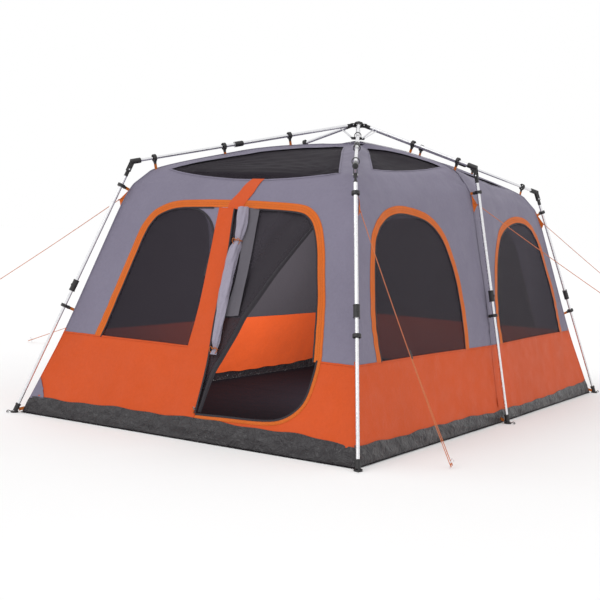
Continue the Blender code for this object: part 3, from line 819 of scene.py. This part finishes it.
def build_side(side):
    end = is_end(side)
    ground = line_across(side, 0.006)
    sill = line_across(side, band_top)
    seam = line_across(side, SEAM_Z)
    split_h = float(np.interp(SPLIT_V, V, H[side]))
    split_half = float(half_at(side, split_h))
    split = np.column_stack([np.linspace(-split_half, split_half, 60), np.full(60, split_h)])
    outlines = (ARCH if side == "front" else EVEN_ARCH,) if end else (WINDOW_ONE, WINDOW_TWO)
    openings = [chart(side, smooth(points)) for points in outlines]
    holes = [np.concatenate([o, [o[-1] - (0, 0.04), o[0] - (0, 0.04)]]) for o in openings]
    low_holes = []
    if side == "front":
        low_holes = [chart(side, [*smooth(DOOR_RIGHT), (0.09, 0.40), (0.085, 0.70), (0.872, 0.70)])]

    def puckers(u, h):
        """Loose folds of the groundsheet's band, flat at the corners, the ground and the top."""
        loose = np.array([
            0.007
            + 0.011 * noise.noise((a * 7 + b * 9, b * 22, 1))
            + 0.008 * noise.noise((a * 21 - b * 20, b * 34, 4))
            for a, b in zip(u, h)
        ])
        from_corner = np.clip(half_at(side, h) - np.abs(u) + 0.01, 0, 0.05)
        top = lift(side, u, band_top(side, u)) + 0.012
        return loose * from_corner / 0.05 * np.sin(pi * np.clip(h / top, 0, 1))

    panel(
        f"groundsheet_band_{side}", side, outline(side, ground, sill + (0, 0.012)), [], tarp, out=0.0052,
        step=0.017, bulge=puckers,
    )
    lower = panel(f"lower_wall_{side}", side, outline(side, sill, seam), low_holes, orange_cloth, out=0.001)
    upper = panel(f"upper_wall_{side}", side, outline(side, seam, split), holes, grey_cloth)
    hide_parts(f"wall_{side}")
    # roof: net under the whole gore, and grey strips round its windows
    peak_h = float(H[side][-1])
    eave_h = float(np.interp(3, V, H[side]))
    top = np.array([(-0.004, peak_h - 0.006), (0.004, peak_h - 0.006)])
    whole = outline(side, split, top)
    if end:
        bow = [(x, 1.645 + 0.062 * (x / 0.68) ** 2) for x in np.linspace(-0.68, 0.68, 17)]
        lights = [np.concatenate([chart(side, bow), [(0.03, peak_h - 0.27), (-0.03, peak_h - 0.27)]])]
        tip_u, tip_h = 0.68, float(lift(side, 0.68, 1.705))
    else:
        rise = peak_h - eave_h
        corner = 1.473 * (rise - 0.185) / rise
        wedge = [
            (-corner, eave_h - 0.012), (-0.9, eave_h - 0.018), (-0.5, eave_h - 0.012), (-0.14, eave_h + 0.01),
            (-0.105, peak_h - 0.215), (-0.16, peak_h - 0.23),
        ]
        lights = [np.array(wedge), np.array([(-u, h) for u, h in reversed(wedge)])]
        tip_u, tip_h = 1.30, eave_h

    def drape(u, h):
        away = np.zeros(len(u))
        for k, across in enumerate((u + tip_u, u - tip_u)):
            far = np.hypot(across, h - tip_h)
            fan = np.cos(np.arctan2(h - tip_h, across) * 34 + k)
            away += 0.009 * fan * np.exp(-far / 0.42) * np.clip(far / 0.08, 0, 1)
        return away

    under = f"roof_net_{side}"
    # the net's extra darkness is painted shade on the top of the cabin
    panel(under, side, whole, [], shaded_roof_mesh, out=-0.010, thick=0.0008, step=0.03, bulge=drape)
    panel(f"roof_{side}", side, whole, lights, grey_cloth, carrier=under)
    for k, light in enumerate(lights):
        tape(f"roof_hem_{side}_{k}", side, [*light, light[0]], 0.014, grey_cloth, 0.0010, under)
    # windows and their bindings
    far = far_net if side in ("left", "back") else net
    for k, opening in enumerate(openings):
        edge = opening
        shrunk = shrink(opening, 0.031)
        zips = [shrunk]
        if side == "front":
            post_edge = chart(side, [(-0.10, 1.482), (-0.085, SEAM_Z - 0.01)])
            edge = np.concatenate([chart(side, smooth(ARCH[:7])), post_edge])
            zips = [[p for p in shrunk if p[0] < -0.125], [p for p in shrunk if p[0] > 0.15]]
        panel(f"window_net_{side}_{k}", side, edge, [], far, out=-0.004, thick=0.0008, step=0.05)
        tape(f"window_trim_{side}_{k}", side, opening, 0.055, trim_cloth, 0.0012, upper.name)
        for n, line in enumerate(zips):
            tape(f"window_zip_{side}_{k}_{n}", side, line, 0.011, dark_tape, 0.0022, upper.name)
    # seams
    gaps = [(-9, 9)] if side != "front" else [(-9, 0.05), (0.875, 9)]
    for k, (a, b) in enumerate(gaps):
        part = seam[(seam[:, 0] > a) & (seam[:, 0] < b)]
        tape(f"waist_seam_{side}_{k}", side, part, 0.013, orange_cloth, 0.0012, lower.name)
    if not end:
        seam_h = float(lift(side, 0.0, SEAM_Z))
        lower_line = (float(lift(side, 0.0, 0.11)), seam_h, orange_cloth, lower)
        upper_line = (seam_h, peak_h - 0.03, grey_cloth, upper)
        for k, (start, stop, cloth, wall) in enumerate((lower_line, upper_line)):
            line = [(0.0, h) for h in np.arange(start, stop, 0.03)]
            tape(f"mid_seam_{side}_{k}", side, line, 0.014, cloth, 0.0014, wall.name)


for side in FACING:
    build_side(side)


# ---- front wall: post, door and its roll
def front_panel(name, points, material, carrier=None, **more):
    panel(name, "front", chart("front", points), [], material, carrier=carrier, **more)


def front_tape(name, points, width, material, out, wall="upper_wall_front", **more):
    tape(name, "front", chart("front", smooth(points)), width, material, out, wall, **more)


front_panel(
    "door_post", [*smooth(POST_LEFT), *reversed(smooth(POST_RIGHT))], orange_cloth, "upper_wall_front",
    out=0.0030, step=0.025,
)
front_panel(
    "post_strap", smooth(STRAP_LEFT) + smooth(STRAP_RIGHT), orange_cloth, "upper_wall_front",
    out=0.0046, step=0.02,
)
front_panel(
    "corner_patch", [(-1.262, 0.098), (-1.135, 0.108), (-1.165, 0.170), (-1.222, 0.245)], grey_cloth,
    "lower_wall_front", out=0.0058, step=0.02,
)
cover = smooth([(-0.300, 1.440), *COVER_EDGE, (-0.098, 1.232), (-0.090, 1.062)])
front_panel(
    "window_cover_fold", [(-0.362, 1.470), (-0.362, 1.440), *cover, (-0.07, 1.062), (-0.10, 1.470)],
    grey_cloth, "upper_wall_front", out=-0.0015, step=0.02,
)
cover_line = [(-0.330, 1.444), *COVER_EDGE, (-0.100, 1.232), (-0.100, 1.0)]
front_tape("window_cover_edge", cover_line, 0.016, dark_tape, 0.0005)
front_tape("door_zip_lower", DOOR_RIGHT, 0.013, dark_tape, 0.0022, "lower_wall_front")
front_tape("door_binding_lower", DOOR_BINDING, 0.024, trim_cloth, 0.0018, "lower_wall_front")
zip_line = [(x + 0.004, z) for x, z in POST_RIGHT[1:-1]]
front_tape("door_zip_post", [(0.007, 1.450), *zip_line, (0.106, 0.160)], 0.012, dark_tape, 0.0045)
behind_post = smooth([(x - 0.012, z) for x, z in POST_RIGHT[:-1]])
front_panel(
    "door_net", [(0.0, 1.478), (0.490, 1.470), (0.590, 1.443), *smooth(DIAGONAL), *reversed(behind_post)],
    door_mesh, out=-0.014, thick=0.0008, step=0.03, bulge=lambda u, h: 0.006 * np.sin(u * 26 - h * 13),
)
HEM_WIDTHS = [0.020, 0.030, 0.040, 0.040, 0.026]
front_tape("door_net_hem", DIAGONAL, HEM_WIDTHS, dark_tape, -0.010, "door_net", crown=0.010)
flap_left = smooth([(0.100, 1.457), (0.150, 1.043), (0.135, 0.760)])
flap_right = smooth([(0.240, 0.772), (0.228, 1.106), (0.200, 1.457)])
# the flap's darker grey is painted shade, not a darker cloth
front_panel(
    "door_flap", flap_left + flap_right, shaded_flap_cloth, out=0.002, step=0.025,
    bulge=lambda u, h: 0.006 * np.sin(u * 60),
)
ROLL_Z = [0.52, 0.555, 0.60, 0.71, 0.90, 1.11, 1.20, 1.24, 1.28, 1.40, 1.46]
ROLL_R = [0.022, 0.014, 0.026, 0.029, 0.036, 0.038, 0.034, 0.023, 0.034, 0.040, 0.036]
ROLL_FLAT = 0.72


def build_roll():
    """The outer door, rolled up against the post and tied in two places."""
    spine = smooth(ROLL_SPINE, 9)
    base = on("front", chart("front", spine))
    out = Vector((0, -1, 0.22)).normalized()
    rows, uvs = [], []
    for i, (point, (_, z)) in enumerate(zip(base, spine)):
        full = float(np.interp(z, ROLL_Z, ROLL_R))
        ahead = Vector(base[min(i + 1, len(base) - 1)] - base[max(i - 1, 0)]).normalized()
        across = ahead.cross(out).normalized()
        centre = Vector(point) + out * (full * ROLL_FLAT)
        row = []
        for k in range(28):
            angle = 2 * pi * k / 28
            lobe = 1 + 0.13 * sin(3 * angle + z * 7) + 0.09 * sin(7 * angle - z * 16)
            lobe += 0.16 * noise.noise((cos(angle) * 1.7, sin(angle) * 1.7, z * 13))
            row.append(centre + (across * cos(angle) + out * sin(angle) * ROLL_FLAT) * full * lobe)
            uvs.append((z, full * angle))
        rows.append(row)
    roll = grid("rolled_door", rows, pale_cloth, uvs=uvs, closed_across=True, caps=True, sharp=70)
    side = Vector((1, 0, 0))
    for k, (z, full) in enumerate(((1.24, 0.025), (0.556, 0.018))):
        i = min(range(len(spine)), key=lambda n: abs(spine[n][1] - z))
        centre = Vector(base[i]) + out * full * ROLL_FLAT
        turns = np.linspace(0, 2 * pi, 25)
        loop = [centre + (side * cos(a) + out * sin(a) * 0.8) * (full + 0.003) for a in turns]
        tube(f"roll_tie_{k}", loop, 0.0028, webbing)
        tied = centre + out * (full * 0.8 + 0.004)
        for sign, label in ((-1, "l"), (1, "r")):
            bow = [
                tied, tied + side * sign * 0.018 + UP * 0.010 + out * 0.006,
                tied + side * sign * 0.030 - UP * 0.006, tied + side * sign * 0.016 - UP * 0.03,
            ]
            tube(f"roll_bow_{k}_{label}", catmull(bow, 5), 0.0022, webbing)


build_roll()


# ---- floor inside
def build_floor():
    x, y, middle = 1.297, 2.215, 1.315
    outer = [(-x, -y), (x, -y), (middle, 0), (x, y), (-x, y), (-middle, 0)]
    flat, faces = cut(outer, [], 0.08)
    points = []
    for a, b in flat:
        loose = min(1, max(0, 2.20 - abs(b)) * 12, max(0, 1.28 - abs(a)) * 12)
        points.append((a, b, 0.0062 + 0.0024 * noise.noise((a * 5, b * 5, 2)) * loose))
    points = np.array(points)
    obj = piece("cabin_floor", points, faces, floor_cloth, uvs=flat, thick=0.002, offset=-1)
    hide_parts("groundsheet")
    SHEETS["cabin_floor"] = (obj, points, faces, np.ptp(flat, axis=0), [])


build_floor()


# ---- corner piping and ridges
CORNERS = (("front_left", -1, -1), ("front_right", 1, -1), ("rear_left", -1, 1), ("rear_right", 1, 1))
PIPING = (
    ("band", 0.02, 0.22, tarp, "groundsheet_band"), ("lower", 0.22, 1.0, orange_cloth, "lower_wall"),
    ("upper", 1.0, 3.96, grey_cloth, "upper_wall"),
)
for corner, sx, sy in CORNERS:
    for part, low, high, cloth, wall in PIPING:
        v = np.linspace(low, high, max(3, int((high - low) * 34)))
        x, y, z = (np.interp(v, V, column) for column in (CX, CY, CZ))
        pipe = tube(f"corner_seam_{part}_{corner}", np.column_stack([sx * x, sy * y, z]), 0.0042, cloth)
        SHEETS[f"{wall}_{'left' if sx < 0 else 'right'}"][4].append(pipe)

PATCH = [(0.0, 0.004), (0.03, 0.004), (0.075, 0.000), (0.078, -0.004), (0.03, -0.001), (0.0, -0.001)]
peak = lathe("peak_patch", PATCH, (0, 0, 2.0165), UP, grey_cloth, "shelter", 36)
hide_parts("roof")
SHEETS["roof_net_front"][4].append(peak)


# ---- frame
def mirrored(point, sx, sy):
    return Vector((point[0] * sx, point[1] * sy, point[2]))


class Limb:
    """One arm and leg: where they turn, and which way they point."""

    def __init__(self, name, elbow, foot):
        self.name = name
        self.corner = "mid" not in name
        self.elbow, self.foot = elbow, foot
        self.outward = Vector((elbow.x, elbow.y, 0)).normalized()
        self.hub = self.outward * 0.055 + UP * 2.157
        self.arm = (elbow - self.hub).normalized()
        self.arm_long = (elbow - self.hub).length
        self.leg = (foot - elbow).normalized()
        self.pivot = elbow + self.leg * 0.060
        self.leg_long = (foot - self.pivot).length
        rest = atan2(-self.arm.z, (self.arm.x**2 + self.arm.y**2) ** 0.5)
        self.arm_axis = self.outward.cross(UP)
        raised = Matrix.Rotation(rest + radians(87), 3, self.arm_axis)
        self.leg_axis = self.leg.cross(raised.inverted() @ Vector((0, 0, -1))).normalized()
        self.out = self.leg.cross(self.leg_axis).normalized()


limbs = [
    Limb(name, mirrored((0.880, 1.643, 1.747), sx, sy), mirrored((1.325, 2.243, 0.0), sx, sy))
    for name, sx, sy in CORNERS
]
limbs += [
    Limb(name, Vector((sx * 0.989, 0, 1.849)), Vector((sx * 1.362, 0, 0)))
    for name, sx in (("mid_left", -1), ("mid_right", 1))
]


def paint(node, material):
    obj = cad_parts[node]
    obj.data.materials.clear()
    obj.data.materials.append(material)
    if material is black:
        bevel = obj.modifiers.new("edges", "BEVEL")
        bevel.width = 0.0009
        bevel.segments = 2
        bevel.limit_method = "ANGLE"
        bevel.angle_limit = radians(38)


for node in ("hub_crown", "hub_cap", "hub_runner"):
    paint(node, black)
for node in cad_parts:
    if node.startswith(("elbow_", "leg_button_")):
        paint(node, black)
    elif node.startswith(("strut_", "arm_outer_", "peg_")):
        paint(node, steel)
for limb in limbs:
    arm = f"arm_inner_{limb.name}" if limb.corner else f"arm_{limb.name}"
    for node, start, ahead, radius, eye in (
        (arm, limb.hub, limb.arm, 0.0155, 0.054),
        (f"leg_upper_{limb.name}", limb.pivot, limb.leg, 0.0155, 0.054),
        (f"leg_lower_{limb.name}", limb.pivot, limb.leg, 0.0135, 0.0),
    ):
        paint(node, tube_finish(node, start, ahead, radius, eye))


def ring(name, at, axis, inner, outer, long, body):
    """A black nylon ring about a tube."""
    lip = 0.0012
    profile = [
        (inner, -long / 2), (outer - lip, -long / 2), (outer, -long / 2 + lip), (outer, long / 2 - lip),
        (outer - lip, long / 2), (inner, long / 2),
    ]
    lathe(name, profile, at, axis, black, body, 28, ring=True)


def rivet(name, at, axis, radius, high, body, material=steel):
    dome = [(radius * sin(a), high * cos(a)) for a in np.linspace(0.25, pi / 2, 5)]
    profile = [(0.0, high), *dome, (radius, -0.001), (0.0, -0.001)]
    lathe(name, profile, at, axis, material, body, 18)


def strap_between(name, a, b, across, width, carrier):
    """A flat strap of webbing from a to b."""
    a, b, across = Vector(a), Vector(b), Vector(across).normalized()
    rows, uvs = [], []
    for k in range(9):
        t = k / 8
        rows.append([a.lerp(b, t) + across * width * s for s in (-0.5, -0.17, 0.17, 0.5)])
        uvs += [(t * (b - a).length, width * s) for s in (-0.5, -0.17, 0.17, 0.5)]
    obj = grid(name, rows, webbing, uvs=uvs, thick=0.0016, offset=0)
    SHEETS[carrier][4].append(obj)


def clip(name, at, axis, toward, body, carrier, reach):
    """A nylon ring round a pole with its hook, and the webbing that joins it to the cloth."""
    axis, toward = Vector(axis).normalized(), Vector(toward)
    toward = (toward - axis * toward.dot(axis)).normalized()
    side = axis.cross(toward)
    ring(f"clip_ring_{name}", at, axis, 0.0214, 0.0262, 0.022, body)
    foot = Vector(at) + toward * 0.034
    rows = []
    for k in range(7):
        t = k / 6
        wide = 0.013 - 0.004 * abs(2 * t - 1)
        rows.append(oval(foot + toward * (t - 0.7) * 0.028, axis, side, wide, 0.0052))
    grid(f"clip_hook_{name}", rows, black, closed_across=True, caps=True, body=body)
    start = Vector(at) + toward * 0.036
    strap_between(f"clip_webbing_{name}", start, start + toward * reach, axis, 0.020, carrier)


def cloth_corner(sx, sy, z):
    """Point at that height on a corner of the cabin, or on a long wall's middle where sy is 0."""
    across, level = (CX, CZ) if sy else (MX, MZ)
    x = np.interp(z, level[RISING], across[RISING])
    return Vector((sx * x, sy * np.interp(z, CZ[RISING], CY[RISING]), z))


def ridge_point(limb, at):
    """The cloth ridge under a point of the arm."""
    out = Vector((at.x, at.y, 0)).length
    reach, level = (np.hypot(CX, CY), CZ) if limb.corner else (MX, MZ)
    z = np.interp(out, reach[ROOF][::-1], level[ROOF][::-1])
    return limb.outward * out + UP * float(z)


for limb in limbs:
    sx = 1 if limb.foot.x > 0 else -1
    sy = int(np.sign(limb.foot.y))
    side_name = "right" if sx > 0 else "left"
    upper_name = f"upper_wall_{side_name}"
    arm_end = f"arm_end_{limb.name}" if limb.corner else f"arm_{limb.name}"
    leg_body, foot_body = f"leg_{limb.name}", f"foot_{limb.name}"
    for k, share in enumerate((0.31, 0.61, 0.91) if limb.corner else (0.45, 0.85)):
        at = limb.hub + limb.arm * limb.arm_long * share
        reach = max(0.02, (at - ridge_point(limb, at)).length * 0.98 - 0.036)
        body = arm_end if k else f"arm_{limb.name}"
        clip(f"arm_{limb.name}_{k}", at, limb.arm, -UP, body, upper_name, reach)
    for k, share in enumerate((0.097, 0.58)):
        at = limb.elbow.lerp(limb.foot, share)
        toward = cloth_corner(sx, sy, at.z) - at
        reach = max(0.012, toward.length - 0.034)
        clip(f"leg_{limb.name}_{k}", at, limb.leg, toward, foot_body if k else leg_body, upper_name, reach)
    # pins at the hub and the elbow, ribs of the leg's lock
    for sign, label in ((-1, "a"), (1, "b")):
        hub_axis, knee_axis = limb.arm_axis * sign, limb.leg_axis * sign
        at_hub, at_knee = limb.hub + hub_axis * 0.013, limb.pivot + knee_axis * 0.013
        rivet(f"hub_pin_{limb.name}_{label}", at_hub, hub_axis, 0.0052, 0.0028, "hub")
        rivet(f"elbow_pin_{limb.name}_{label}", at_knee, knee_axis, 0.0062, 0.0032, arm_end)
    for k, t in enumerate((0.852, 0.928)):
        at = limb.pivot + limb.leg * t
        ring(f"lock_rib_{limb.name}_{k}", at, limb.leg, 0.0195, 0.0212, 0.006, leg_body)
    socket = limb.pivot + limb.leg * (limb.leg_long - 0.060)
    ring(f"foot_collar_{limb.name}", socket, limb.leg, 0.0160, 0.0186, 0.010, foot_body)
    # peg loop at the foot
    ground_out = Vector((limb.outward.x, limb.outward.y, 0)).normalized()
    heel = limb.foot + ground_out * 0.022 + UP * 0.006
    hook = [(0, 0), (0.020, 0.010), (0.032, 0.004), (0.030, -0.002), (0.018, -0.001)]
    hook_line = catmull([heel + ground_out * away + UP * up for away, up in hook], 4)
    tube(f"foot_hook_{limb.name}", hook_line, 0.0028, black, body=foot_body)
    hem = cloth_corner(sx, sy, 0.03) if limb.corner else Vector((sx * 1.303, 0, 0.03))
    inner = limb.foot + UP * 0.020 - ground_out * 0.030
    if (inner - hem).length > 0.012:
        strap_between(f"foot_strap_{limb.name}", hem, inner, UP, 0.022, f"groundsheet_band_{side_name}")

rivet("hub_screw", Vector((0, 0, 2.189)), UP, 0.008, 0.002, "hub", black)


# ---- guy patches
for name, start, peg in ROPES:
    line = rope_route(start, peg)
    apex = line[0] + (line[1] - line[0]).normalized() * 0.035
    sx, sy = (int(np.sign(part)) for part in start[:2])
    above, below = (0.13, 0.07) if sy else (0.12, 0.08)
    high, low = cloth_corner(sx, sy, start[2] + above), cloth_corner(sx, sy, start[2] - below)
    rows, uvs = [], []
    for k in range(9):
        t = k / 8
        top, bottom = high.lerp(apex, t), low.lerp(apex, t)
        rows.append([top.lerp(bottom, s) for s in (0, 0.33, 0.67, 1)])
        uvs += [(t * 0.08, s * 0.14) for s in (0, 0.33, 0.67, 1)]
    patch = grid(f"guy_patch_{name}", rows, trim_cloth, uvs=uvs, thick=0.0018, offset=0)
    SHEETS[f"upper_wall_{'right' if sx > 0 else 'left'}"][4].append(patch)

# ---- zip slider
low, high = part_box("door_zip_slider")
middle = (low + high) / 2
rows = []
for k in range(7):
    t = k / 6 - 0.5
    wide = 0.006 * (1 - 0.35 * abs(2 * t) ** 3)
    rows.append([
        middle + Vector((cos(a) * wide, sin(a) * 0.0026 - t * 0.010, t * 0.025)) for a in TWELFTHS
    ])
slider = grid("zip_slider", rows, zip_metal, closed_across=True, caps=True, body="door_zip", soft=True)
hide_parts("door_zip_slider")
PULL = ((0, -0.004, 0.004), (0.001, -0.010, -0.012), (0.003, -0.008, -0.034))
pull_line = catmull([middle + Vector(away) for away in PULL], 4)
tube("zip_pull", pull_line, 0.0022, webbing, body="door_zip", soft=True)

floor_mesh = bpy.data.meshes.new("floor")
floor_mesh.from_pydata([(-60, -60, 0), (60, -60, 0), (60, 60, 0), (-60, 60, 0)], [], [(0, 1, 2, 3)])
floor = bpy.data.objects.new("floor", floor_mesh)
bpy.context.scene.collection.objects.link(floor)
floor.location.z = -0.001
pale = Finish("pale_floor", Roughness=0.9, Specular_IOR_Level=0.1)
pale.plug(pale.ramp(pale.noise(0.3), [(0.3, (0.90,)), (0.7, (0.92,))]), "Base Color")
floor_mesh.materials.append(pale.material)
